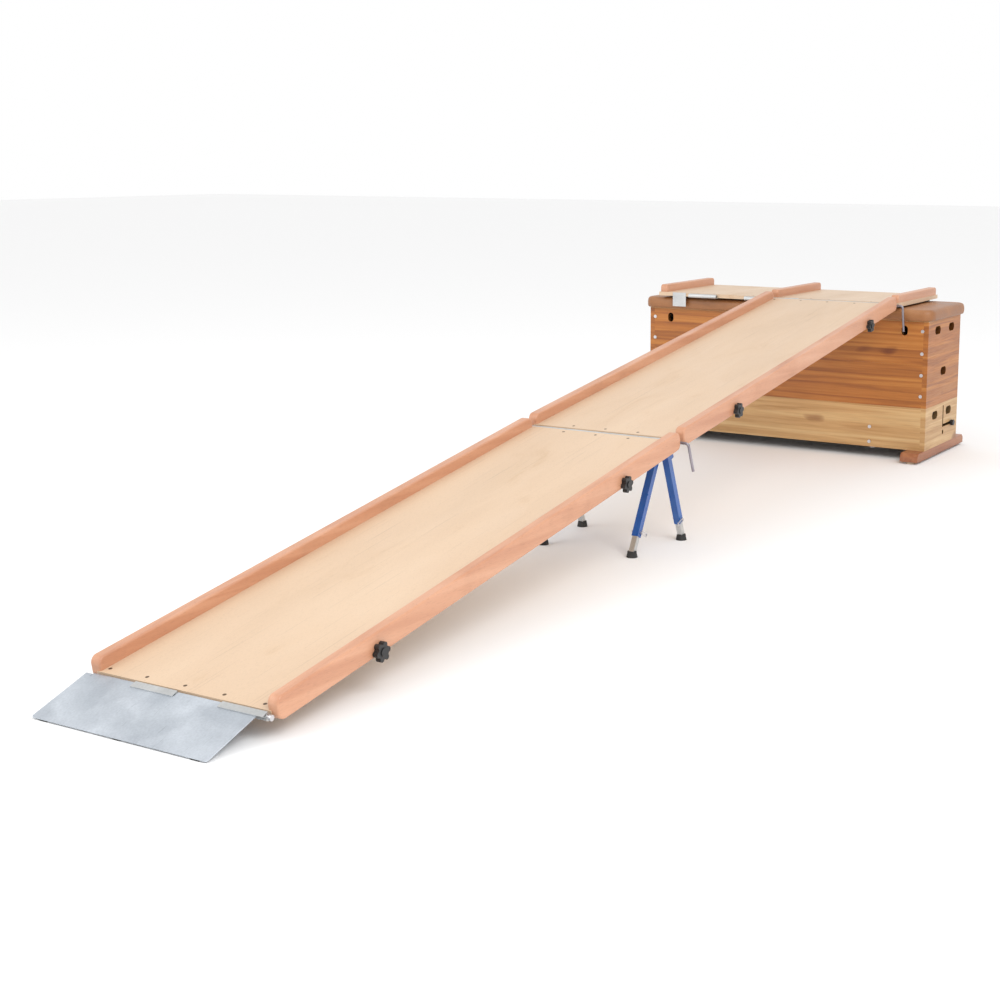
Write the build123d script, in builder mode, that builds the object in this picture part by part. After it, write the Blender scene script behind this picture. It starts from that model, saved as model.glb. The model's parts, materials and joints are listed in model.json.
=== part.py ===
from build123d import *
import os
from math import asin, atan2, cos, degrees, hypot, pi, radians, sin

os.makedirs("parts", exist_ok=True)

# ---- ramp: sizes that drive the sections, mm ----
section_length = 2140  # hinge axis to hinge axis
board_width = 600
board_thickness = 18
surface_rise = 11  # deck surface above the hinge axis
board_end_gap = 12  # board end to hinge axis
rail_end_gap = 14  # side rail end to hinge axis
rail_width = 36
rail_height = 65
rail_lip = 10  # rail below the board
rail_groove = 12  # how deep the board sits in the rail
rail_corner = 22
rail_edge = 6

# ---- hinges ----
pin_radius = 5
pin_clearance = 0.05
knuckle_radius = 10
leaf_thickness = 3
leaf_length = 60
side_clearance = 1  # between neighbouring knuckles
quarter = board_width / 4
screw_radius = 3
screw_head = 5.5
screw_head_height = 3
screw_pitch = 134
screw_row_shift = 8
screw_setback = 36  # screw row to hinge axis
strip_start = 760
strip_pitch = 136
strip_inset = 22  # edge strip screws to the rail's inner face

# ---- how the run stands ----
top_axis_height = 725
mid_axis_height = 413
front_axis_height = 61
plate_length = 196
plate_shift = 24  # sheet to the left of the ramp's centre line
plate_rise = 7  # underside of the sheet above its hinge axis
buffer_thickness = 4
buffer_radius = 14

# ---- platform ----
platform_shift = 29  # platform centre line from the box's centre line
platform_back = 490  # behind the box front
platform_margin = 24
platform_rail = 36
top_axis_reach = 58  # top hinge axis in front of the box
grip_thickness = 8
hook_thickness = 3
hook_width = 72
hook_drop = 50
hook_shift = 210  # hook centre from the middle of its bay

# ---- box ----
box_length = 1450
box_depth = 455
tier_height = 200
tier_base = 50  # underside of the bottom tier
tier_gap = 0.3
wall = 24
glue_line = 0.1
fingers = 5
post_size = 40
post_drop = 30
post_clearance = 1
pad_thickness = 60
pad_overhang = 25
pad_corner = 40
pad_edge = 12
base_thickness = 18
batten_inset = 200
bolt_head_radius = 8
bolt_head_height = 3
bolt_radius = 4
bolt_length = 20
beam_front = 90  # in front of the box
beam_back = 110  # behind the box
beam_width = 85
beam_height = 40
glide_radius = 22
glide_inset = 30
glide_height = 10

# ---- trestle ----
leg_size = 25
leg_wall = 2
inner_size = 20
foot_radius = 20
foot_top_radius = 16
foot_height = 22
apex_reach = 111  # trestle centre plane behind the middle hinge
pivot_height = 366
front_lean = 28
rear_lean = 21
front_side = 186  # front legs either side of the trestle's middle
leg_gap = 3  # between a front leg and the rear leg outside it
rear_side = front_side + leg_size + leg_gap
leg_shift = 20  # trestle's middle to the left of the ramp's centre line
leg_end_height = 68
lock_pin_radius = 4
slide_travel = 100

# ---- places worked out from the sizes above ----
lower_slope = degrees(asin((mid_axis_height - front_axis_height) / section_length))
upper_slope = degrees(asin((top_axis_height - mid_axis_height) / section_length))
plate_bottom = plate_rise - buffer_thickness
plate_slope = degrees(
    asin(front_axis_height / hypot(plate_length, plate_bottom))
    + atan2(plate_bottom, plate_length)
)
plate_top = plate_rise + leaf_thickness
plate_run = plate_length * cos(radians(plate_slope)) + plate_top * sin(radians(plate_slope))
lower_run = section_length * cos(radians(lower_slope))
upper_run = section_length * cos(radians(upper_slope))
front_reach = top_axis_reach + upper_run + lower_run + plate_run
back_reach = box_depth + beam_back
box_x = (front_reach - back_reach) / 2
top_x = box_x - top_axis_reach
mid_x = top_x - upper_run
front_x = mid_x - lower_run
ramp_y = platform_shift - board_width / 2
spare_y = platform_shift + board_width / 2
half = board_width / 2
clear_half = half - rail_groove
rail_outer = clear_half + rail_width
board_low = surface_rise - board_thickness
leaf_low = board_low - leaf_thickness
rail_low = board_low - rail_lip
odd_quarters = (1.5 * quarter, -0.5 * quarter)
even_quarters = (0.5 * quarter, -1.5 * quarter)
knuckle_width = quarter - side_clearance
screw_rows = [screw_row_shift + screw_pitch * k for k in (-2, -1, 0, 1, 2)]
strip_y = -clear_half + strip_inset
strip_screws = [strip_start + strip_pitch * k for k in range(5)]
tier_top = tier_base + 3 * tier_height
grip_top = tier_top + pad_thickness + grip_thickness


def slope_plane(x, z, slope):
    """Workplane on a hinge axis: x up the slope, y along the axis, z off the deck."""
    a = radians(slope)
    return Plane(origin=(x, ramp_y, z), x_dir=(cos(a), 0, sin(a)), z_dir=(-sin(a), 0, cos(a)))


lower = slope_plane(front_x, front_axis_height, lower_slope)
upper = slope_plane(mid_x, mid_axis_height, upper_slope)
plate = slope_plane(front_x, front_axis_height, plate_slope)
platform = Plane(origin=(top_x, platform_shift, top_axis_height))
box = Plane(origin=(box_x, -box_length / 2, 0))


def block(x, y, z, mode=Mode.ADD):
    """A block from three (low, high) pairs, in the workplane of the part being built."""
    with Locations(((x[0] + x[1]) / 2, (y[0] + y[1]) / 2, (z[0] + z[1]) / 2)):
        Box(x[1] - x[0], y[1] - y[0], z[1] - z[0], mode=mode)


def rod_y(x, z, y0, y1, r, mode=Mode.ADD):
    """A round bar along y."""
    with Locations((x, (y0 + y1) / 2, z)):
        Cylinder(r, y1 - y0, rotation=(90, 0, 0), mode=mode)


def rod_x(y, z, x0, x1, r, mode=Mode.ADD):
    """A round bar along x."""
    with Locations(((x0 + x1) / 2, y, z)):
        Cylinder(r, x1 - x0, rotation=(0, 90, 0), mode=mode)


def rod_z(x, y, z0, z1, r, mode=Mode.ADD):
    """A round bar along z."""
    with Locations((x, y, (z0 + z1) / 2)):
        Cylinder(r, z1 - z0, mode=mode)


def knuckles(x, centres):
    """Hinge knuckles on the axis at x."""
    for y in centres:
        rod_y(x, 0, y - knuckle_width / 2, y + knuckle_width / 2, knuckle_radius)


def bores(x, centres):
    """Pin bores through those knuckles."""
    for y in centres:
        rod_y(x, 0, y - quarter / 2, y + quarter / 2, pin_radius + pin_clearance, Mode.SUBTRACT)


def leaf(x, inward, centres):
    """A hinge leaf under the board: a strip, a neck to each knuckle, and the knuckles."""
    strip = sorted((x + inward * board_end_gap, x + inward * leaf_length))
    block(strip, (-clear_half + 0.5, clear_half - 0.5), (leaf_low, board_low))
    for y in centres:
        side = (y - knuckle_width / 2, y + knuckle_width / 2)
        block(sorted((x, x + inward * (board_end_gap + 1))), side, (leaf_low, board_low))
    knuckles(x, centres)
    bores(x, centres)


def screw_spots(rows):
    """Screw places from (x, list of y) rows."""
    return [(x, y) for x, ys in rows for y in ys]


def screws(spots, slack=0, mode=Mode.ADD):
    """Countersunk screws from the deck surface down through the leaf."""
    for x, y in spots:
        rod_z(x, y, leaf_low, surface_rise, screw_radius + slack, mode)
        with Locations((x, y, surface_rise - screw_head_height / 2)):
            Cone(screw_radius + slack, screw_head + slack, screw_head_height, mode=mode)


def deck_board(spots):
    """The section's board with its screw holes."""
    x = (board_end_gap, section_length - board_end_gap)
    block(x, (-half, half), (board_low, surface_rise))
    screws(spots, 0.05, Mode.SUBTRACT)


strap = screw_spots([(x, [strip_y]) for x in strip_screws])
lower_spots = screw_spots(
    [(screw_setback, screw_rows), (section_length - screw_setback, screw_rows[:-1])]
)
upper_spots = screw_spots(
    [(screw_setback, screw_rows[1:-1]), (section_length - screw_setback, screw_rows)]
)
knob_low = -5  # knob centre off the hinge axis line
knob_hole = 4.3
knob_stem = 4.25
knob_stem_length = 14
lower_knobs = (405, 1724)
upper_knobs = (433, 1772)


# ---- boards ----
with BuildPart(lower) as lower_board:
    deck_board(lower_spots + strap)
lower_board.part.label = "lower_board"
export_step(lower_board.part, "parts/lower_board.step")

with BuildPart(upper) as upper_board:
    deck_board(upper_spots)
upper_board.part.label = "upper_board"
export_step(upper_board.part, "parts/upper_board.step")


# ---- side rails ----
def rail_blank(side):
    """A side rail's block; side is 1 for the left rail and -1 for the right one."""
    y = side * (clear_half + rail_width / 2)
    x = (rail_end_gap, section_length - rail_end_gap)
    block(x, (y - rail_width / 2, y + rail_width / 2), (rail_low, rail_low + rail_height))


def rail_cuts(side, knob_places):
    """The groove for the board and the knob holes in a side rail."""
    inner = sorted((side * (clear_half - 1), side * half))
    block((0, section_length), inner, (board_low, surface_rise), Mode.SUBTRACT)
    for x in knob_places:
        outer = -rail_outer
        rod_y(x, knob_low, outer - 1, outer + knob_stem_length + 1, knob_hole, Mode.SUBTRACT)


with BuildPart(lower) as lower_rail_right:
    rail_blank(-1)
    fillet(lower_rail_right.edges().filter_by(Axis.Y), rail_corner)
    fillet(lower_rail_right.faces().filter_by(Axis.Y).edges(), rail_edge)
    rail_cuts(-1, lower_knobs)
lower_rail_right.part.label = "lower_rail_right"
export_step(lower_rail_right.part, "parts/lower_rail_right.step")

with BuildPart(lower) as lower_rail_left:
    rail_blank(1)
    fillet(lower_rail_left.edges().filter_by(Axis.Y), rail_corner)
    fillet(lower_rail_left.faces().filter_by(Axis.Y).edges(), rail_edge)
    rail_cuts(1, ())
lower_rail_left.part.label = "lower_rail_left"
export_step(lower_rail_left.part, "parts/lower_rail_left.step")

with BuildPart(upper) as upper_rail_right:
    rail_blank(-1)
    fillet(upper_rail_right.edges().filter_by(Axis.Y), rail_corner)
    fillet(upper_rail_right.faces().filter_by(Axis.Y).edges(), rail_edge)
    rail_cuts(-1, upper_knobs)
upper_rail_right.part.label = "upper_rail_right"
export_step(upper_rail_right.part, "parts/upper_rail_right.step")

with BuildPart(upper) as upper_rail_left:
    rail_blank(1)
    fillet(upper_rail_left.edges().filter_by(Axis.Y), rail_corner)
    fillet(upper_rail_left.faces().filter_by(Axis.Y).edges(), rail_edge)
    rail_cuts(1, ())
upper_rail_left.part.label = "upper_rail_left"
export_step(upper_rail_left.part, "parts/upper_rail_left.step")

# ---- hinge leaves ----
lug_reach = 17
lug_gap = 0.3

with BuildPart(plate) as plate_stops:
    for y in even_quarters:
        side = (y - knuckle_width / 2 + 1, y + knuckle_width / 2 - 1)
        low = plate_top + lug_gap
        block((-lug_reach, 5), side, (low, low + leaf_thickness))
        block((-1, 5), side, (plate_rise, low + 1))

with BuildPart(lower) as front_leaf_strip:
    leaf(0, 1, even_quarters)
    screws(lower_spots[:5], 0.05, Mode.SUBTRACT)

with BuildPart() as lower_front_leaf:
    add(front_leaf_strip.part)
    add(plate_stops.part)
lower_front_leaf.part.label = "lower_front_leaf"
export_step(lower_front_leaf.part, "parts/lower_front_leaf.step")

with BuildPart(lower) as lower_top_leaf:
    leaf(section_length, -1, odd_quarters)
    screws(lower_spots[5:], 0.05, Mode.SUBTRACT)
lower_top_leaf.part.label = "lower_top_leaf"
export_step(lower_top_leaf.part, "parts/lower_top_leaf.step")

with BuildPart(upper) as upper_low_leaf:
    leaf(0, 1, even_quarters)
    screws(upper_spots[:3], 0.05, Mode.SUBTRACT)
upper_low_leaf.part.label = "upper_low_leaf"
export_step(upper_low_leaf.part, "parts/upper_low_leaf.step")

with BuildPart(upper) as upper_top_leaf:
    leaf(section_length, -1, odd_quarters)
    screws(upper_spots[3:], 0.05, Mode.SUBTRACT)
upper_top_leaf.part.label = "upper_top_leaf"
export_step(upper_top_leaf.part, "parts/upper_top_leaf.step")

with BuildPart(lower) as lower_edge_strip:
    ends = (strip_screws[0] - 30, strip_screws[-1] + 30)
    block(ends, (strip_y - 15, strip_y + 15), (leaf_low, board_low))
    screws(strap, 0.05, Mode.SUBTRACT)
lower_edge_strip.part.label = "lower_edge_strip"
export_step(lower_edge_strip.part, "parts/lower_edge_strip.step")

with BuildPart(lower) as lower_screws:
    screws(lower_spots + strap)
lower_screws.part.label = "lower_screws"
export_step(lower_screws.part, "parts/lower_screws.step")

with BuildPart(upper) as upper_screws:
    screws(upper_spots)
upper_screws.part.label = "upper_screws"
export_step(upper_screws.part, "parts/upper_screws.step")

# ---- landing plate ----
tip_cut = 5

with BuildPart(plate) as landing_plate:
    sides = (plate_shift - half, plate_shift + half)
    block((-plate_length, -board_end_gap), sides, (plate_rise, plate_top))
    upright = landing_plate.edges().filter_by(Axis((0, 0, 0), plate.z_dir))
    chamfer(upright.group_by(Axis.X)[0], tip_cut)
    for y in odd_quarters:
        side = (y - knuckle_width / 2, y + knuckle_width / 2)
        block((-board_end_gap - 1, 0), side, (plate_rise, plate_top))
    block((-board_end_gap - 1, -1), (half + 1, half + plate_shift), (plate_rise, plate_top))
    knuckles(0, odd_quarters)
    bores(0, odd_quarters)
landing_plate.part.label = "landing_plate"
export_step(landing_plate.part, "parts/landing_plate.step")

with BuildPart(plate) as landing_buffers:
    for y in (plate_shift - half + 40, plate_shift, plate_shift + half - 40):
        x = (-plate_length, -plate_length + 2 * buffer_radius)
        block(x, (y - buffer_radius, y + buffer_radius), (plate_bottom, plate_rise))
landing_buffers.part.label = "landing_buffers"
export_step(landing_buffers.part, "parts/landing_buffers.step")

pin_head = 8

with BuildPart(lower) as landing_pin:
    rod_y(0, 0, -half - 6, half + 4, pin_radius)
    rod_y(0, 0, -half - 12, -half - 6, pin_head)
landing_pin.part.label = "landing_pin"
export_step(landing_pin.part, "parts/landing_pin.step")

# ---- pull-out pins with a bent handle ----
handle_out = 22  # handle axis beyond the rail
handle_bend = 12


def pull_pin(x, z, length, lean):
    """Path of a pull-out pin: along the hinge, round a bend, and down the handle."""
    y = ramp_y - rail_outer - handle_out
    a = radians(lean)
    start = (x, ramp_y + half + 2, z)
    end = (x + length * sin(a), y, z - length * cos(a))
    return FilletPolyline(start, (x, y, z), end, radius=handle_bend)


with BuildPart() as mid_pin:
    with BuildLine():
        pull_pin(mid_x, mid_axis_height, 112, 21)
    with BuildSketch(Plane(origin=(mid_x, ramp_y + half + 2, mid_axis_height), z_dir=(0, -1, 0))):
        Circle(pin_radius)
    sweep()
mid_pin.part.label = "mid_pin"
export_step(mid_pin.part, "parts/mid_pin.step")

with BuildPart() as top_pin:
    with BuildLine():
        pull_pin(top_x, top_axis_height, 122, 12)
    with BuildSketch(Plane(origin=(top_x, ramp_y + half + 2, top_axis_height), z_dir=(0, -1, 0))):
        Circle(pin_radius)
    sweep()
top_pin.part.label = "top_pin"
export_step(top_pin.part, "parts/top_pin.step")

# ---- star knobs on the right-hand rails ----
knob_gap = 1.5
knob_thickness = 16
knob_core = 21
lobe_ring = 20
lobe_radius = 8
lobes = 6


def star_knob(frame, x):
    """A star knob with its threaded stem."""
    face = -rail_outer - knob_gap
    rod_y(x, knob_low, face - knob_thickness, face, knob_core)
    for k in range(lobes):
        a = 2 * pi * k / lobes
        lx = x + lobe_ring * cos(a)
        lz = knob_low + lobe_ring * sin(a)
        rod_y(lx, lz, face - knob_thickness, face, lobe_radius)
    rod_y(x, knob_low, face - knob_thickness - 3, face, 12)
    rod_y(x, knob_low, face, -rail_outer + knob_stem_length, knob_stem)


for frame, places, names in (
    (lower, lower_knobs, ("lower_knob_front", "lower_knob_back")),
    (upper, upper_knobs, ("upper_knob_front", "upper_knob_back")),
):
    for place, name in zip(places, names):
        with BuildPart(frame) as knob:
            star_knob(frame, place)
        knob.part.label = name
        export_step(knob.part, f"parts/{name}.step")

# ---- trestle ----
apex_x = mid_x + apex_reach
trestle_y = ramp_y + leg_shift
gusset_gap = 1
gusset = 4
bracket_plate = 6
bracket_half = 50
bracket_side = 46
gusset_half = 24
gusset_foot = 14
gusset_rise = 30
pivot_bolt = 5
pivot_slack = 0.05
bolt_cap = 9
cap_height = 5
bracket_middle = (front_side + rear_side) / 2
pair_half = (rear_side - front_side + leg_size) / 2 + gusset_gap
bracket_x = (apex_reach - bracket_half, apex_reach + bracket_half)


def leg_plane(lean):
    """Workplane at the trestle's pivot: x down the leg, y across the ramp."""
    a = radians(lean)
    return Plane(
        origin=(apex_x, trestle_y, pivot_height),
        x_dir=(-sin(a), 0, -cos(a)),
        z_dir=(cos(a), 0, -sin(a)),
    )


def gusset_sides(middle):
    """The two plates of the bracket that hold a pair of legs."""
    return [sorted((middle + f * pair_half, middle + f * (pair_half + gusset))) for f in (-1, 1)]


with BuildPart(upper) as bracket_plates:
    for y in (leg_shift - bracket_middle, leg_shift + bracket_middle):
        plate_y = (y - bracket_side, y + bracket_side)
        block(bracket_x, plate_y, (board_low - bracket_plate, board_low))
        for side in gusset_sides(y):
            x = (apex_reach - gusset_half, apex_reach + gusset_half)
            block(x, side, (board_low - bracket_plate - gusset_rise, board_low - 1))

with BuildPart(Plane(origin=(apex_x, trestle_y, 0))) as bracket_gussets:
    for y in (-bracket_middle, bracket_middle):
        for side in gusset_sides(y):
            z = (pivot_height - gusset_foot, pivot_height + gusset_rise)
            block((-gusset_half, gusset_half), side, z)
        reach = pair_half + gusset + 1
        r = pivot_bolt + pivot_slack
        rod_y(0, pivot_height, y - reach, y + reach, r, Mode.SUBTRACT)

with BuildPart() as trestle_bracket:
    add(bracket_plates.part)
    add(bracket_gussets.part)
trestle_bracket.part.label = "trestle_bracket"
export_step(trestle_bracket.part, "parts/trestle_bracket.step")

with BuildPart(Plane(origin=(apex_x, trestle_y, 0))) as trestle_bolts:
    for y in (-bracket_middle, bracket_middle):
        reach = pair_half + gusset
        rod_y(0, pivot_height, y - reach, y + reach, pivot_bolt)
        rod_y(0, pivot_height, y - reach - cap_height, y - reach, bolt_cap)
        rod_y(0, pivot_height, y + reach, y + reach + cap_height, bolt_cap)
trestle_bolts.part.label = "trestle_bolts"
export_step(trestle_bolts.part, "parts/trestle_bolts.step")

leg_top = 14
h = leg_size / 2
i = inner_size / 2
hollow = h - leg_wall
bore = i - leg_wall
hollow_start = 20
bar_place = 45
bar_size = 16
tube_tail = 150
tube_end_height = 14
tube_plug = 16  # solid end of the tube, inside the foot
pin_setback = 18
pin_slack = 0.3
loop_gap = 7
loop_wire = 1.5
loop_reach = 38
loop_half = 7
for lean, side, inside, name in (
    (front_lean, front_side, 1, "front"),
    (-rear_lean, rear_side, -1, "rear"),
):
    leg = leg_plane(lean)
    down = (pivot_height - leg_end_height) / cos(radians(lean))
    lock = down - pin_setback
    foot_end = (pivot_height - tube_end_height) / cos(radians(lean))

    with BuildPart(leg) as tubes:
        for y in (-side, side):
            block((-leg_top, down), (y - h, y + h), (-h, h))
            block((hollow_start, down + 1), (y - hollow, y + hollow), (-hollow, hollow), Mode.SUBTRACT)
            rod_y(0, 0, y - h - 1, y + h + 1, pivot_bolt + pivot_slack, Mode.SUBTRACT)
            rod_y(lock, 0, y - h - 1, y + h + 1, lock_pin_radius + pin_slack, Mode.SUBTRACT)
    tubes.part.label = f"{name}_legs"
    export_step(tubes.part, f"parts/{name}_legs.step")

    with BuildPart(leg) as bar:
        out = sorted((-inside * h, -inside * (h + bar_size)))
        across = (-side - h, side + h)
        block((bar_place - bar_size / 2, bar_place + bar_size / 2), across, out)
    bar.part.label = f"{name}_crossbar"
    export_step(bar.part, f"parts/{name}_crossbar.step")

    for y, end in ((-side, "near"), (side, "far")):
        slot_half = lock_pin_radius + pin_slack
        slot = (lock - slide_travel - slot_half, lock + slot_half)
        with BuildPart(leg) as tube:
            block((lock - tube_tail, foot_end), (y - i, y + i), (-i, i))
            hole = (lock - tube_tail - 1, foot_end - tube_plug)
            block(hole, (y - bore, y + bore), (-bore, bore), Mode.SUBTRACT)
            block(slot, (y - i - 1, y + i + 1), (-slot_half, slot_half), Mode.SUBTRACT)
        tube.part.label = f"{name}_tube_{end}"
        export_step(tube.part, f"parts/{name}_tube_{end}.step")

        foot_x = leg.origin.X + leg.x_dir.X * foot_end
        with BuildPart() as foot:
            with Locations((foot_x, trestle_y + y, foot_height / 2)):
                Cone(foot_radius, foot_top_radius, foot_height)
            add(tube.part, mode=Mode.SUBTRACT)
        foot.part.label = f"{name}_foot_{end}"
        export_step(foot.part, f"parts/{name}_foot_{end}.step")

        clip = (y - h - loop_gap - loop_wire, y - h - loop_gap + loop_wire)
        wire = 2 * loop_wire
        tip = inside * loop_reach
        with BuildPart(leg) as lock_pin:
            rod_y(lock, 0, y - h - loop_gap - 3, y + h + 8, lock_pin_radius)
            for x in (lock - loop_half, lock + loop_half - wire):
                block((x, x + wire), clip, sorted((0, tip)))
            x = (lock - loop_half, lock + loop_half)
            block(x, clip, sorted((tip - inside * wire, tip)))
            block(x, clip, (-loop_wire, loop_wire))
        lock_pin.part.label = f"{name}_lock_{end}"
        export_step(lock_pin.part, f"parts/{name}_lock_{end}.step")

# ---- platform on the box ----
board_front = rail_end_gap
deck_back = platform_back + top_axis_reach
platform_half = board_width + platform_margin
bays = (-board_width / 2, board_width / 2)
platform_quarters = [bay + y for bay in bays for y in even_quarters]
platform_spots = [(screw_setback, q + d) for q in platform_quarters for d in (-45, 45)]
rail_places = (-board_width, 0, board_width)
hook_places = [bay + hook_shift for bay in bays]

with BuildPart(platform) as platform_board:
    x = (board_front, deck_back)
    block(x, (-platform_half, platform_half), (board_low, surface_rise))
    screws(platform_spots, 0.05, Mode.SUBTRACT)
platform_board.part.label = "platform_board"
export_step(platform_board.part, "parts/platform_board.step")

with BuildPart(platform) as platform_rails:
    for y in rail_places:
        side = (y - platform_rail / 2, y + platform_rail / 2)
        top = surface_rise + platform_rail
        block((board_front + 4, deck_back - 4), side, (surface_rise, top))
    fillet(platform_rails.edges().filter_by(Axis.Y).group_by(Axis.Z)[-1], 16)
    fillet(platform_rails.faces().group_by(Axis.Z)[-1].edges().filter_by(Axis.X), 5)
platform_rails.part.label = "platform_rails"
export_step(platform_rails.part, "parts/platform_rails.step")

with BuildPart(platform) as platform_leaves:
    for y in platform_quarters:
        side = (y - knuckle_width / 2, y + knuckle_width / 2)
        block((0, leaf_length), side, (leaf_low, board_low))
    knuckles(0, platform_quarters)
    bores(0, platform_quarters)
    screws(platform_spots, 0.05, Mode.SUBTRACT)
platform_leaves.part.label = "platform_leaves"
export_step(platform_leaves.part, "parts/platform_leaves.step")

with BuildPart(platform) as platform_screws:
    screws(platform_spots)
platform_screws.part.label = "platform_screws"
export_step(platform_screws.part, "parts/platform_screws.step")

pad_top = tier_top + pad_thickness - top_axis_height
with BuildPart(platform) as platform_grips:
    for x in (110, 300, 470):
        grip = (x - 25, x + 25)
        block(grip, (-platform_half + 20, platform_half - 20), (pad_top + 0.3, board_low))
platform_grips.part.label = "platform_grips"
export_step(platform_grips.part, "parts/platform_grips.step")

with BuildPart(platform) as platform_hooks:
    for y in hook_places:
        side = (y - hook_width / 2, y + hook_width / 2)
        low = board_low - hook_drop
        front = (board_front - hook_thickness, board_front)
        back = (deck_back, deck_back + hook_thickness)
        for x in (front, back):
            block(x, side, (low, surface_rise))
        block((board_front - 1, board_front + 32), side, (leaf_low, board_low))
        block((deck_back - 32, deck_back + 1), side, (leaf_low, board_low))
platform_hooks.part.label = "platform_hooks"
export_step(platform_hooks.part, "parts/platform_hooks.step")

# ---- the box: three tiers of finger-jointed boards ----
oval_long = 76
oval_short = 38
front_oval = (30, 45)
finger_height = (tier_height - tier_gap) / fingers
end_holes = {0: (130, 325), 1: (227.5,), 2: (130, 325)}
bolt_rows = {1: (55, 153), 2: (53, 157)}
bolt_inset = 28
castor_places = (271, box_length - 271)
castor_bolts = (74, 145)
lever_slot = 13
lever_z = 137
lever_run = (250, 365)
lever_top = 234
lever_hole = 22
lever_hole_place = (253, 106)


def oval_y(x, z, long, short, y):
    """A handhole through a wall that faces y."""
    r = short / 2
    rod_y(x - long / 2 + r, z, y[0], y[1], r, Mode.SUBTRACT)
    rod_y(x + long / 2 - r, z, y[0], y[1], r, Mode.SUBTRACT)
    block((x - long / 2 + r, x + long / 2 - r), y, (z - r, z + r), Mode.SUBTRACT)


def oval_x(y, z, wide, tall, x):
    """An upright handhole through a wall that faces x."""
    r = wide / 2
    rod_x(y, z - tall / 2 + r, x[0], x[1], r, Mode.SUBTRACT)
    rod_x(y, z + tall / 2 - r, x[0], x[1], r, Mode.SUBTRACT)
    block(x, (y - r, y + r), (z - tall / 2 + r, z + tall / 2 - r), Mode.SUBTRACT)


def long_board(z, x):
    """A long side with the odd fingers left out at each end."""
    block(x, (0, box_length), (z, z + fingers * finger_height))
    for k in range(1, fingers, 2):
        f = (z + k * finger_height - glue_line, z + (k + 1) * finger_height + glue_line)
        block(x, (-1, wall + glue_line), f, Mode.SUBTRACT)
        block(x, (box_length - wall - glue_line, box_length + 1), f, Mode.SUBTRACT)


def end_board(z, y):
    """An end with fingers that fill the gaps in the long sides."""
    inside = (wall + glue_line, box_depth - wall - glue_line)
    block(inside, y, (z, z + fingers * finger_height))
    for k in range(1, fingers, 2):
        block((0, box_depth), y, (z + k * finger_height, z + (k + 1) * finger_height))


def posts(z, drop):
    """Corner posts inside a tier, dropped into the tier below."""
    a = wall + post_clearance
    for x in (a, box_depth - a - post_size):
        for y in (a, box_length - a - post_size):
            top = z + tier_height - post_drop - 2
            block((x, x + post_size), (y, y + post_size), (z - drop, top))


def bolt_spots(tier):
    """Places of a tier's corner bolts."""
    ys = (bolt_inset, box_length - bolt_inset)
    base = tier_base + tier * tier_height
    spots = [(y, base + dz) for y in ys for dz in bolt_rows.get(tier, ())]
    if tier == 0:
        spots = [(y, z) for y in castor_places for z in castor_bolts]
    return spots


def bolts(spots, slack=0, mode=Mode.ADD):
    """Round-headed bolts in both long sides."""
    for y, z in spots:
        for face, inward in ((0, 1), (box_depth, -1)):
            shank = sorted((face, face + inward * bolt_length))
            rod_x(y, z, shank[0], shank[1], bolt_radius + slack, mode)
            if mode == Mode.ADD:
                head = sorted((face, face - inward * bolt_head_height))
                rod_x(y, z, head[0], head[1], bolt_head_radius, mode)


def tier(level):
    """Everything in one tier of the box."""
    z = tier_base + level * tier_height
    whole = (-1, box_depth + 1)
    long_board(z, (0, wall))
    long_board(z, (box_depth - wall, box_depth))
    end_board(z, (0, wall))
    end_board(z, (box_length - wall, box_length))
    posts(z, post_drop if level else 0)
    for x in end_holes[level]:
        for y in ((-1, wall + 1), (box_length - wall - 1, box_length + 1)):
            oval_y(x, z + 153, oval_long, oval_short, y)
    if level == 2:
        for y in (115, box_length - 115):
            oval_x(y, z + 157, front_oval[0], front_oval[1], whole)
    bolts(bolt_spots(level), 0.05, Mode.SUBTRACT)
    if level == 0:
        r = lever_slot / 2
        side = (-1, wall + 1)
        across = (lever_run[0] - r, lever_run[1] + r)
        block(across, side, (lever_z - r, lever_z + r), Mode.SUBTRACT)
        up = (lever_run[0] - r, lever_run[0] + r)
        block(up, side, (lever_z - r, lever_top), Mode.SUBTRACT)
        rod_y(lever_hole_place[0], lever_hole_place[1], -1, wall + 1, lever_hole / 2, Mode.SUBTRACT)


for level, name in enumerate(("bottom", "middle", "top")):
    with BuildPart(box) as tier_part:
        tier(level)
    tier_part.part.label = f"box_{name}_tier"
    export_step(tier_part.part, f"parts/box_{name}_tier.step")

    with BuildPart(box) as bolt_part:
        bolts(bolt_spots(level))
    bolt_part.part.label = f"{name}_bolts"
    export_step(bolt_part.part, f"parts/{name}_bolts.step")

with BuildPart(box) as box_pad_base:
    block((0, box_depth), (0, box_length), (tier_top, tier_top + base_thickness))
    a = wall + post_clearance
    for x in (a, box_depth - a - post_size):
        ends = (batten_inset, box_length - batten_inset)
        block((x, x + post_size), ends, (tier_top - post_drop, tier_top))
box_pad_base.part.label = "box_pad_base"
export_step(box_pad_base.part, "parts/box_pad_base.step")

with BuildPart(box) as box_pad:
    x = (-pad_overhang, box_depth + pad_overhang)
    y = (-pad_overhang, box_length + pad_overhang)
    block(x, y, (tier_top + 1, tier_top + pad_thickness))
    fillet(box_pad.edges().filter_by(Axis.Z), pad_corner)
    fillet(box_pad.faces().sort_by(Axis.Z)[-1].edges(), pad_edge)
    pocket = (tier_top - 1, tier_top + base_thickness)
    block((0, box_depth), (0, box_length), pocket, Mode.SUBTRACT)
box_pad.part.label = "box_pad"
export_step(box_pad.part, "parts/box_pad.step")

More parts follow.
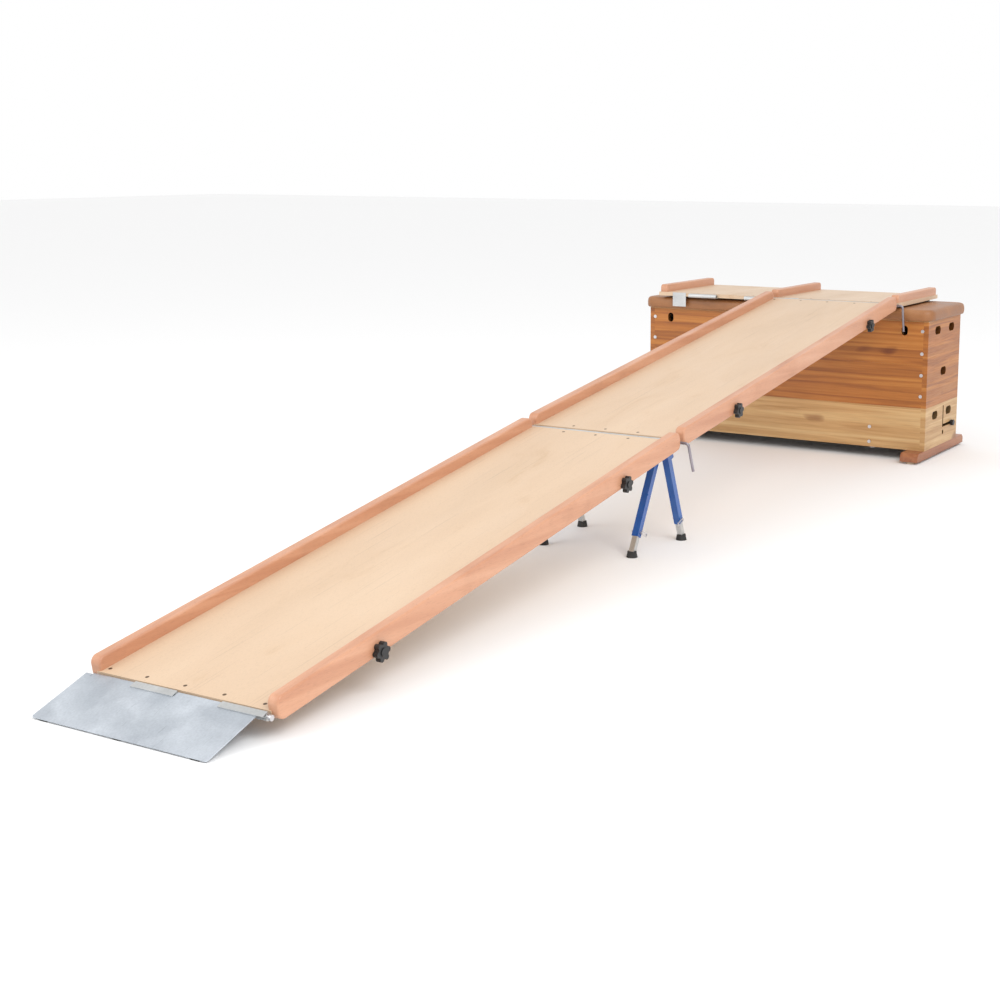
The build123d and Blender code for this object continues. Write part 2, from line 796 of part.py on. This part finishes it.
beam_places = (0, box_length - beam_width)
with BuildPart(box) as sledge_beams:
    for y in beam_places:
        x = (-beam_front, box_depth + beam_back)
        block(x, (y, y + beam_width), (glide_height, glide_height + beam_height))
    chamfer(sledge_beams.edges().filter_by(Axis.Y).group_by(Axis.Z)[-1], 15)
sledge_beams.part.label = "sledge_beams"
export_step(sledge_beams.part, "parts/sledge_beams.step")

with BuildPart(box) as sledge_glides:
    for y in beam_places:
        for x in (-beam_front + glide_inset, box_depth + beam_back - glide_inset):
            rod_z(x, y + beam_width / 2, 0, glide_height, glide_radius)
sledge_glides.part.label = "sledge_glides"
export_step(sledge_glides.part, "parts/sledge_glides.step")

wheel_radius = 28
wheel_width = 24
wheel_z = 38 + wheel_radius
wheel_inset = 55
with BuildPart(box) as castor_brackets:
    for y in castor_places:
        for face, inward in ((wall, 1), (box_depth - wall, -1)):
            x = sorted((face, face + inward * 5))
            block(x, (y - 25, y + 25), (tier_base + 2, 165))
            rod_x(y, wheel_z, x[0] - 1, x[1] + 1, pin_radius + pin_clearance, Mode.SUBTRACT)
castor_brackets.part.label = "castor_brackets"
export_step(castor_brackets.part, "parts/castor_brackets.step")

for y, end in zip(castor_places, ("near", "far")):
    with BuildPart(box) as axle:
        rod_x(y, wheel_z, wall + 0.4, box_depth - wall - 0.4, pin_radius)
        for x in (wheel_inset, box_depth - wheel_inset):
            rod_x(y, wheel_z, x - wheel_width / 2, x + wheel_width / 2, wheel_radius)
    axle.part.label = f"castor_axle_{end}"
    export_step(axle.part, f"parts/castor_axle_{end}.step")

with BuildPart(box) as castor_lever:
    x = lever_run[1] - 5
    rod_y(x, lever_z, -8, wall + 4, 5)
    rod_y(x, lever_z, -18, -4, 14)
    block((x - 30, x + 8), (wall + 0.5, wall + 4.5), (lever_z - 20, lever_z + 20))
castor_lever.part.label = "castor_lever"
export_step(castor_lever.part, "parts/castor_lever.step")
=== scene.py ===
# %% [markdown]
# # A folding gym ramp on a vaulting box
# Two plywood sections with beech side rails climb from a steel landing plate
# on the floor, over a folding blue trestle, to a platform laid on a padded box
# of three stacking wooden tiers. The hard parts come ready made with the
# frame, so this lesson is mostly about finishes: each wood, metal and plastic
# gets its own grain, sheen and wear. The leather pad is modelled here, because
# leather over foam bulges in a way that a hard solid doesn't show.

import json
import math

import bpy
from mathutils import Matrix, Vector


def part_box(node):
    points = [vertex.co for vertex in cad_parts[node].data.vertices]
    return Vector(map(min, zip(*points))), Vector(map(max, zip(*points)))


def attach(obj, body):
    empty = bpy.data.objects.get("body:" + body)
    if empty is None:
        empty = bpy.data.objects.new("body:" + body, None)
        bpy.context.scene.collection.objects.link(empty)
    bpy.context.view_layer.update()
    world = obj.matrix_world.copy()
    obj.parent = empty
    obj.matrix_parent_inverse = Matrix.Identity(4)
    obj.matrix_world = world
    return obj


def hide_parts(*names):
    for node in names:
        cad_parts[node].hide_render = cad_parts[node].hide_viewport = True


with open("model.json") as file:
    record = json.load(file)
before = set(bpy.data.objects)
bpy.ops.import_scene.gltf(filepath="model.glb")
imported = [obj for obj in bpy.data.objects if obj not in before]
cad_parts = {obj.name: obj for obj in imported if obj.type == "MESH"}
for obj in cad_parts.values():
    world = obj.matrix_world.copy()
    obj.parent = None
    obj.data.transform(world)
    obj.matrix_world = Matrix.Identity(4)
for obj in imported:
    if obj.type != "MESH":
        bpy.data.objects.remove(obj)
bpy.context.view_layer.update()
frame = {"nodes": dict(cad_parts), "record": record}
nodes = frame["nodes"]

# %% [markdown]
# ## Small helpers for building finishes
# A finish is a chain of nodes. Each chain starts from the piece's own Object
# coordinates, so that the pattern stays on the piece when a hinge turns.
# Stretching the coordinates turns round specks into long wood fibres: a small
# scale along the grain and a big one across it.

# %% Coordinates and noise
def stretched(tree, scale, turn=(0, 0, 0)):
    """Object coordinates, turned and then stretched along each axis."""
    place = tree.nodes.new("ShaderNodeTexCoord")
    shape = tree.nodes.new("ShaderNodeMapping")
    shape.inputs["Scale"].default_value = scale
    shape.inputs["Rotation"].default_value = turn
    tree.links.new(place.outputs["Object"], shape.inputs["Vector"])
    return shape.outputs["Vector"]


def specks(tree, scale, detail=3.0, turn=(0, 0, 0), twist=0.0):
    """Noise whose specks are 1 / scale metres long on each axis."""
    noise = tree.nodes.new("ShaderNodeTexNoise")
    noise.inputs["Scale"].default_value = 1.0
    noise.inputs["Detail"].default_value = detail
    noise.inputs["Distortion"].default_value = twist
    tree.links.new(stretched(tree, scale, turn), noise.inputs["Vector"])
    return noise.outputs[0]


def ramp(tree, value, stops):
    """Turns a grey value into colours; stops are (position, colour) pairs."""
    node = tree.nodes.new("ShaderNodeValToRGB")
    band = node.color_ramp
    while len(band.elements) < len(stops):
        band.elements.new(0.5)
    for element, (position, colour) in zip(band.elements, stops):
        element.position = position
        element.color = (*colour, 1.0)
    tree.links.new(value, node.inputs[0])
    return node.outputs[0]


def grey(level):
    """One grey as a colour."""
    return (level, level, level)


def mixed(tree, share, first, second, how="MIX"):
    """Mixes two colours; share is a number or a node's output."""
    node = tree.nodes.new("ShaderNodeMix")
    node.data_type = "RGBA"
    node.blend_type = how
    for value, socket in ((share, node.inputs[0]), (first, node.inputs[6]), (second, node.inputs[7])):
        if isinstance(value, bpy.types.NodeSocket):
            tree.links.new(value, socket)
        elif isinstance(value, tuple):
            socket.default_value = (*value, 1.0)
        else:
            socket.default_value = value
    return node.outputs[2]


def sums(tree, operation, *values):
    """One arithmetic step on numbers or node outputs."""
    node = tree.nodes.new("ShaderNodeMath")
    node.operation = operation
    for value, socket in zip(values, node.inputs):
        if isinstance(value, bpy.types.NodeSocket):
            tree.links.new(value, socket)
        else:
            socket.default_value = value
    return node.outputs[0]


def row_axes(tree):
    """The piece's own x, y and z as three outputs."""
    place = tree.nodes.new("ShaderNodeTexCoord")
    parts = tree.nodes.new("ShaderNodeSeparateXYZ")
    tree.links.new(place.outputs["Object"], parts.inputs[0])
    return parts.outputs


def finish_named(name, metallic=0.0, coat=0.0, specular=0.5):
    """A new material with its tree and its main shader."""
    material = bpy.data.materials.new(name)
    material.use_nodes = True
    shader = material.node_tree.nodes["Principled BSDF"]
    shader.inputs["Metallic"].default_value = metallic
    shader.inputs["Coat Weight"].default_value = coat
    shader.inputs["Coat Roughness"].default_value = 0.25
    shader.inputs["Specular IOR Level"].default_value = specular
    return material, material.node_tree, shader


def wire_up(tree, shader, colour, roughness, height, strength, depth):
    """Joins colour, roughness and bump to the shader."""
    bump = tree.nodes.new("ShaderNodeBump")
    bump.inputs["Strength"].default_value = strength
    bump.inputs["Distance"].default_value = depth
    tree.links.new(height, bump.inputs["Height"])
    tree.links.new(bump.outputs[0], shader.inputs["Normal"])
    tree.links.new(colour, shader.inputs["Base Color"])
    tree.links.new(roughness, shader.inputs["Roughness"])


# %% [markdown]
# ## Birch plywood for the running surface
# The boards are birch plywood. Its face is peeled from the log, so it has soft
# wavy clouds and short thin flecks all running one way, along the ramp. Years
# of trainers and castors leave fine scratches and a few grey smudges. Four
# layers of noise do this: clouds, flecks, and two sets of very long thin
# streaks that cross the grain at small angles.

# %% Plywood finish
def plywood_finish():
    material, tree, shader = finish_named("birch_plywood", coat=0.12)
    clouds = specks(tree, (0.9, 4, 4), detail=3, twist=0.4)
    birch = [(0.3, (0.60, 0.43, 0.285)), (0.5, (0.64, 0.465, 0.315)), (0.72, (0.67, 0.495, 0.34))]
    base = ramp(tree, clouds, birch)
    flecks = specks(tree, (34, 620, 620), detail=2)
    fleck_tone = ramp(tree, flecks, [(0.30, grey(0.80)), (0.46, grey(1.0)), (1.0, grey(1.0))])
    colour = mixed(tree, 0.55, base, fleck_tone, "MULTIPLY")
    for turn, level in ((0.5, 0.84), (-0.9, 0.90)):
        scratch = specks(tree, (2.2, 190, 1), detail=1, turn=(0, 0, turn))
        line = ramp(tree, scratch, [(0.0, grey(1.0)), (0.70, grey(1.0)), (0.735, grey(level))])
        colour = mixed(tree, 0.8, colour, line, "MULTIPLY")
    smudge = specks(tree, (3, 9, 3), detail=5, twist=1.0)
    dirt = ramp(tree, smudge, [(0.0, grey(1.0)), (0.60, grey(1.0)), (0.80, (0.86, 0.80, 0.72))])
    colour = mixed(tree, 0.7, colour, dirt, "MULTIPLY")
    sheen = ramp(tree, smudge, [(0.3, grey(0.42)), (0.7, grey(0.58))])
    wire_up(tree, shader, colour, sheen, flecks, 0.25, 0.0006)
    return material


plywood = plywood_finish()
print("made", plywood.name)


# %% [markdown]
# ## Solid beech for the side rails
# Beech is pinker than birch and full of tiny dark dashes, the rays of the
# wood. The same recipe as plywood works with warmer colours, tighter dashes
# and long soft bands. One function makes the plain woods here, so the rails
# and the red runners under the box share it.

# %% Plain wood finish
def plain_wood(name, dark, middle, light, along, dashes, roughness, coat):
    """Wood whose fibres run along x (0), y (1) or z (2)."""
    def fibre(short, long):
        return tuple(short if axis == along else long for axis in range(3))

    material, tree, shader = finish_named(name, coat=coat)
    bands = specks(tree, fibre(1.1, 26), detail=5, twist=0.6)
    colour = ramp(tree, bands, [(0.28, dark), (0.5, middle), (0.74, light)])
    dash = specks(tree, fibre(40, dashes), detail=2)
    tone = ramp(tree, dash, [(0.30, grey(0.74)), (0.45, grey(1.0)), (1.0, grey(1.0))])
    colour = mixed(tree, 0.6, colour, tone, "MULTIPLY")
    worn = specks(tree, (5, 5, 5), detail=4)
    grime = ramp(tree, worn, [(0.0, grey(1.0)), (0.58, grey(1.0)), (0.82, grey(0.80))])
    colour = mixed(tree, 0.6, colour, grime, "MULTIPLY")
    sheen = ramp(tree, worn, [(0.3, grey(roughness - 0.06)), (0.7, grey(roughness + 0.1))])
    wire_up(tree, shader, colour, sheen, dash, 0.2, 0.0005)
    return material


beech = plain_wood(
    "beech", (0.50, 0.225, 0.125), (0.58, 0.285, 0.165), (0.64, 0.34, 0.21), 0, 760, 0.42, 0.2
)
runner_wood = plain_wood(
    "red_runner_wood", (0.22, 0.07, 0.03), (0.33, 0.12, 0.05), (0.45, 0.19, 0.08), 0, 300, 0.45, 0.2
)
print("made", beech.name, runner_wood.name)


# %% [markdown]
# ## Pine for the box tiers
# Pine has dark and light bands, the winter and summer growth. On a sawn board
# they make long wandering lines that run together and part again. Noise that is
# stretched along the fibres and then bent gives them. The long sides have their fibres along y and the ends
# along x, and both are in one piece of the model, so the finish looks at where
# it is: close to either end of the box it uses the end-board pattern. In the
# corners the fingers of both boards meet, so there the finish also counts the
# fingers up the side and shows every second one as darker end grain. Surfaces
# below the outer skin, such as the walls of the hand holes, get painted shade
# that stands in for the shadow in them.

# %% Pine finish
finger_height = 0.04
tier_base = 0.05
fingers_per_tier = 5
end_wall_start = 0.701
skin_depth = 0.0006
# Painted shade: how dark the hand-hole walls and other faces below the outer skin are painted.
painted_shade_level = 0.3
box_low, box_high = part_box("box_bottom_tier")


def pine_finish(name, dark, middle, light, contrast):
    material, tree, shader = finish_named(name, coat=0.15)
    x, y, z = row_axes(tree)

    long_side = specks(tree, (1.0, 0.7, 30.0), detail=4, twist=1.6)
    end_side = specks(tree, (1.6, 1.0, 32.0), detail=4, twist=1.4)
    out = sums(tree, "ABSOLUTE", y)
    at_end = sums(tree, "GREATER_THAN", out, end_wall_start)
    count = sums(tree, "FLOOR", sums(tree, "DIVIDE", sums(tree, "SUBTRACT", z, tier_base), finger_height))
    in_tier = sums(tree, "MODULO", count, float(fingers_per_tier))
    odd = sums(tree, "MODULO", in_tier, 2.0)
    pattern = mixed(tree, at_end, long_side, end_side)
    deep = tuple(a + (b - a) * (1 - contrast) for a, b in zip(dark, middle))
    colour = ramp(tree, pattern, [(0.34, deep), (0.50, middle), (0.66, light)])
    fibres = specks(tree, (12, 12, 500), detail=3)
    tone = ramp(tree, fibres, [(0.32, grey(0.80)), (0.55, grey(1.0)), (1.0, grey(1.03))])
    colour = mixed(tree, 0.6, colour, tone, "MULTIPLY")
    board_tint = specks(tree, (0.8, 0.9, 5.0), detail=1)
    tint = ramp(tree, board_tint, [(0.35, (1.0, 0.93, 0.84)), (0.65, (1.0, 1.0, 1.0))])
    colour = mixed(tree, 0.8, colour, tint, "MULTIPLY")
    end_grain = sums(tree, "MULTIPLY", at_end, odd)
    front_face = sums(tree, "MULTIPLY", end_grain, 0.45)
    colour = mixed(tree, front_face, colour, deep)
    # Painted shade: faces below the outer skin, such as the hand-hole walls, are multiplied down to stand in
    # for the shadow in them.
    depth_in = sums(tree, "GREATER_THAN", x, box_low.x + skin_depth)
    depth_out = sums(tree, "LESS_THAN", x, box_high.x - skin_depth)
    between_ends = sums(tree, "LESS_THAN", out, box_high.y - skin_depth)
    painted_shade_mask = sums(tree, "MULTIPLY", sums(tree, "MULTIPLY", depth_in, depth_out), between_ends)
    colour = mixed(tree, painted_shade_mask, colour, mixed(tree, 1.0, colour, grey(painted_shade_level), "MULTIPLY"))
    knot = specks(tree, (5, 6, 9), detail=0)
    knots = ramp(tree, knot, [(0.0, grey(1.0)), (0.77, grey(1.0)), (0.83, (0.45, 0.30, 0.20))])
    colour = mixed(tree, 0.9, colour, knots, "MULTIPLY")
    sheen = ramp(tree, fibres, [(0.3, grey(0.50)), (0.7, grey(0.36))])
    wire_up(tree, shader, colour, sheen, pattern, 0.12, 0.0008)
    return material


orange_pine = pine_finish("orange_pine", (0.24, 0.07, 0.010), (0.42, 0.145, 0.022), (0.50, 0.20, 0.038), 0.8)
light_pine = pine_finish("light_pine", (0.42, 0.22, 0.075), (0.56, 0.34, 0.145), (0.63, 0.42, 0.20), 0.8)
print("made", orange_pine.name, light_pine.name)


# %% [markdown]
# ## Steel in five states
# The landing plate is thick galvanised sheet: blue-grey, blotchy, and
# scratched where wheels roll on. The hinges and tubes are zinc plated and
# smoother, and the bolts and axles are brighter still. The pull-out pins are a
# darker purplish grey and the deck screws are brown. All are metals, so only
# the roughness and the tint of the reflections change, by clouds of noise and
# by thin scratches.

# %% Metal finish
def metal_finish(name, dark, light, smooth, rough, scratched):
    material, tree, shader = finish_named(name, metallic=0.85)
    clouds = specks(tree, (9, 9, 9), detail=6, twist=0.5)
    colour = ramp(tree, clouds, [(0.3, dark), (0.7, light)])
    grains = specks(tree, (160, 160, 160), detail=2)
    tone = ramp(tree, grains, [(0.3, grey(0.90)), (0.7, grey(1.05))])
    colour = mixed(tree, 0.7, colour, tone, "MULTIPLY")
    height = grains
    for turn in (0.35, 1.3) if scratched else ():
        lines = specks(tree, (16, 300, 16), detail=1, turn=(0, 0, turn))
        line = ramp(tree, lines, [(0.0, grey(1.0)), (0.72, grey(1.0)), (0.76, grey(0.74))])
        colour = mixed(tree, 0.6, colour, line, "MULTIPLY")
    sheen = ramp(tree, clouds, [(0.3, grey(smooth)), (0.7, grey(rough))])
    wire_up(tree, shader, colour, sheen, height, 0.08, 0.0004)
    return material


galvanised = metal_finish("galvanised_sheet", (0.46, 0.50, 0.55), (0.62, 0.66, 0.71), 0.36, 0.54, True)
zinc = metal_finish("zinc_plating", (0.50, 0.51, 0.51), (0.68, 0.68, 0.67), 0.26, 0.42, False)
bright = metal_finish("bright_steel", (0.55, 0.54, 0.55), (0.74, 0.72, 0.74), 0.20, 0.34, False)
pin_steel = metal_finish("pull_pin_steel", (0.26, 0.24, 0.27), (0.40, 0.37, 0.41), 0.28, 0.44, False)
screw_steel = metal_finish("brown_screw_steel", (0.10, 0.06, 0.035), (0.20, 0.13, 0.08), 0.34, 0.52, False)
print("made", galvanised.name, zinc.name, bright.name, pin_steel.name, screw_steel.name)


# %% [markdown]
# ## Paint, plastic and rubber
# The trestle is powder coated: glossy blue with the faint pebbled skin that
# powder leaves when it melts. The knobs are moulded black plastic and the feet
# are matt rubber with dust in it. They share one function: a tint, a little
# cloudiness, and a fine bump.

# %% Moulded and painted finish
def skin_finish(name, colour, worn_colour, pebble, strength, smooth, rough, coat):
    material, tree, shader = finish_named(name, coat=coat)
    clouds = specks(tree, (14, 14, 14), detail=5)
    tint = ramp(tree, clouds, [(0.45, colour), (0.85, worn_colour)])
    skin = specks(tree, (pebble, pebble, pebble), detail=1)
    sheen = ramp(tree, clouds, [(0.3, grey(smooth)), (0.7, grey(rough))])
    wire_up(tree, shader, tint, sheen, skin, strength, 0.0004)
    return material


blue_paint = skin_finish(
    "blue_powder_coat", (0.002, 0.075, 0.33), (0.008, 0.11, 0.39), 900, 0.12, 0.24, 0.36, 0.5
)
knob_plastic = skin_finish(
    "black_plastic", (0.012, 0.012, 0.013), (0.03, 0.03, 0.03), 1100, 0.2, 0.34, 0.5, 0.0
)
dusty_rubber = skin_finish(
    "black_rubber", (0.014, 0.014, 0.014), (0.06, 0.058, 0.055), 700, 0.3, 0.62, 0.8, 0.0
)
glide_plastic = skin_finish(
    "pale_glide", (0.55, 0.44, 0.31), (0.40, 0.30, 0.20), 500, 0.2, 0.45, 0.6, 0.0
)
print("made", blue_paint.name, knob_plastic.name, dusty_rubber.name, glide_plastic.name)

# %% [markdown]
# ## Put each finish on its parts
# The record already says which material slot each hard part takes its finish
# from, so one table from slot to finish dresses them. A second, shorter table
# names the few steel pieces whose colour differs from the rest of their slot.

# %% Dress the hard parts
finish_of = {
    "plywood": plywood,
    "beech": beech,
    "galvanised_steel": galvanised,
    "zinc_steel": zinc,
    "bright_steel": bright,
    "black_plastic": knob_plastic,
    "black_rubber": dusty_rubber,
    "blue_paint": blue_paint,
    "orange_pine": orange_pine,
    "light_pine": light_pine,
    "red_pine": runner_wood,
    "glide_plastic": glide_plastic,
}
finish_of_node = {
    "top_pin": pin_steel,
    "mid_pin": pin_steel,
    "lower_screws": screw_steel,
    "upper_screws": screw_steel,
    "platform_screws": screw_steel,
}
for part in frame["record"]["subparts"]:
    finish = finish_of_node.get(part["node"]) or finish_of.get(part["material_slot"])
    if finish:
        mesh = nodes[part["node"]].data
        mesh.materials.clear()
        mesh.materials.append(finish)

# %% [markdown]
# ## The leather pad
# On the real box a slab of foam is covered in leather, pulled down over a
# board and tacked underneath. The corners are rounded, the top edge is soft
# and the faces swell a little between the edges. It starts as a block, its
# upright corners and then its rims are bevelled, a remesh spreads even
# quads over it, and smoothing and a gentle swell do the rest.

# %% Model the pad
def nothing_selected():
    bpy.ops.object.select_all(action="DESELECT")


pad_low, pad_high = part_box("box_pad")
pad_size = pad_high - pad_low
pad_middle = (pad_low + pad_high) / 2
nothing_selected()
bpy.ops.mesh.primitive_cube_add(size=1, location=pad_middle)
pad = bpy.context.object
pad.name = "leather_pad"
pad.scale = (pad_size.x - 0.006, pad_size.y - 0.006, pad_size.z - 0.004)
bpy.ops.object.transform_apply(location=True, rotation=True, scale=True)
bpy.ops.object.mode_set(mode="EDIT")
bpy.ops.mesh.select_mode(type="EDGE")
bpy.ops.mesh.select_all(action="DESELECT")
bpy.ops.object.mode_set(mode="OBJECT")
for edge in pad.data.edges:
    a, b = (pad.data.vertices[i].co for i in edge.vertices)
    edge.select = abs(a.z - b.z) > 0.01
bpy.ops.object.mode_set(mode="EDIT")
bpy.ops.mesh.bevel(offset=0.045, segments=8, affect="EDGES")
bpy.ops.mesh.select_all(action="DESELECT")
bpy.ops.object.mode_set(mode="OBJECT")
for edge in pad.data.edges:
    a, b = (pad.data.vertices[i].co for i in edge.vertices)
    edge.select = abs(a.z - b.z) < 0.001 and a.z > pad_middle.z
bpy.ops.object.mode_set(mode="EDIT")
bpy.ops.mesh.bevel(offset=0.018, segments=6, affect="EDGES")
bpy.ops.object.mode_set(mode="OBJECT")
print("pad block:", len(pad.data.vertices), "points")

# %% Remesh, smooth and swell the pad
even = pad.modifiers.new("even_quads", "REMESH")
even.mode = "VOXEL"
even.voxel_size = 0.009
bpy.ops.object.modifier_apply(modifier=even.name)
soft = pad.modifiers.new("soften", "SMOOTH")
soft.factor = 0.5
soft.iterations = 5
bpy.ops.object.modifier_apply(modifier=soft.name)
swell = 0.0025
for point in pad.data.vertices:
    u = (point.co.x - pad_middle.x) / (pad_size.x / 2)
    v = (point.co.y - pad_middle.y) / (pad_size.y / 2)
    h = (point.co.z - pad_middle.z) / (pad_size.z / 2)
    side = max(0.0, 1 - h * h)
    if abs(u) > 0.9:
        point.co.x += math.copysign(swell * side * max(0.0, 1 - abs(v) ** 6), u)
    if abs(v) > 0.96:
        point.co.y += math.copysign(swell * side * max(0.0, 1 - abs(u) ** 4), v)
nothing_selected()
pad.select_set(True)
bpy.context.view_layer.objects.active = pad
bpy.ops.object.shade_smooth()
print("pad:", len(pad.data.polygons), "faces")

# %% [markdown]
# ## Leather finish
# Old gym leather is tan with darker, shinier patches where hands push off, and
# a net of fine creases. A cell pattern gives the grain, and two sizes of noise
# give the polish and the stains.

# %% Leather
leather, tree, shader = finish_named("tan_leather", coat=0.1)
patches = specks(tree, (4, 3, 6), detail=6, twist=0.6)
tan = [(0.3, (0.19, 0.068, 0.022)), (0.5, (0.33, 0.135, 0.046)), (0.75, (0.46, 0.22, 0.09))]
hide = ramp(tree, patches, tan)
grain = tree.nodes.new("ShaderNodeTexVoronoi")
grain.feature = "DISTANCE_TO_EDGE"
grain.inputs["Scale"].default_value = 1.0
tree.links.new(stretched(tree, (330, 330, 330)), grain.inputs["Vector"])
creases = ramp(tree, grain.outputs[0], [(0.0, grey(0.55)), (0.12, grey(1.0)), (1.0, grey(1.0))])
hide = mixed(tree, 0.45, hide, creases, "MULTIPLY")
polish = ramp(tree, patches, [(0.3, grey(0.34)), (0.7, grey(0.55))])
wire_up(tree, shader, hide, polish, grain.outputs[0], 0.35, 0.0006)
pad.data.materials.clear()
pad.data.materials.append(leather)
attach(pad, "pad")
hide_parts("box_pad")
print("pad is covered in", leather.name)

# %% [markdown]
# ## Floor and light
# A pale floor and a bright even sky keep the colours honest. One big soft
# light over the left shoulder gives the rails and steps a gentle shadow side,
# and a weaker one fills from the right.

# %% Floor, sky and lamps
nothing_selected()
bpy.ops.mesh.primitive_plane_add(size=80, location=(0, 0, 0))
floor = bpy.context.object
floor.name = "studio_floor"
floor_paint, tree, shader = finish_named("floor_white", specular=0.1)
shader.inputs["Base Color"].default_value = (0.93, 0.93, 0.93, 1)
shader.inputs["Roughness"].default_value = 0.9
floor.data.materials.append(floor_paint)

sky = bpy.data.worlds.new("studio_sky")
sky.use_nodes = True
sky.node_tree.nodes["Background"].inputs[0].default_value = (1, 1, 1, 1)
sky.node_tree.nodes["Background"].inputs[1].default_value = 1.0
bpy.context.scene.world = sky


def soft_lamp(name, place, aim, size, power):
    """A square soft light that looks at a point."""
    data = bpy.data.lights.new(name, "AREA")
    data.size = size
    data.energy = power
    lamp = bpy.data.objects.new(name, data)
    bpy.context.scene.collection.objects.link(lamp)
    lamp.location = place
    lamp.rotation_euler = (Vector(aim) - Vector(place)).to_track_quat("-Z", "Y").to_euler()
    return lamp


middle = (0.0, -0.3, 0.3)
soft_lamp("key_light", (-3.5, -5.5, 5.5), middle, 4.0, 290)
soft_lamp("fill_light", (-5.5, 3.5, 4.0), middle, 5.0, 100)
bpy.context.scene.view_settings.view_transform = "Standard"
print("floor, sky and two lamps are in place")

# %% [markdown]
# ## Camera
# The camera stands well back to the right of the ramp's foot and looks up its
# length, from a little under head height. The small shift frames the object
# low and to the left without tilting the uprights.

# %% Camera
heading = math.radians(30.804)
tilt = math.radians(-10.253)
camera_data = bpy.data.cameras.new("camera")
camera_data.sensor_width = 36
camera_data.lens = 57.64
camera_data.shift_x = -0.0911
camera_data.shift_y = -0.0544
camera_data.clip_end = 200
camera = bpy.data.objects.new("camera", camera_data)
bpy.context.scene.collection.objects.link(camera)
camera.location = (-5.109, -3.1376, 1.3993)
look = Vector(
    (math.cos(tilt) * math.cos(heading), math.cos(tilt) * math.sin(heading), math.sin(tilt))
)
camera.rotation_euler = look.to_track_quat("-Z", "Y").to_euler()
bpy.context.scene.camera = camera
print("camera at", tuple(round(c, 2) for c in camera.location))
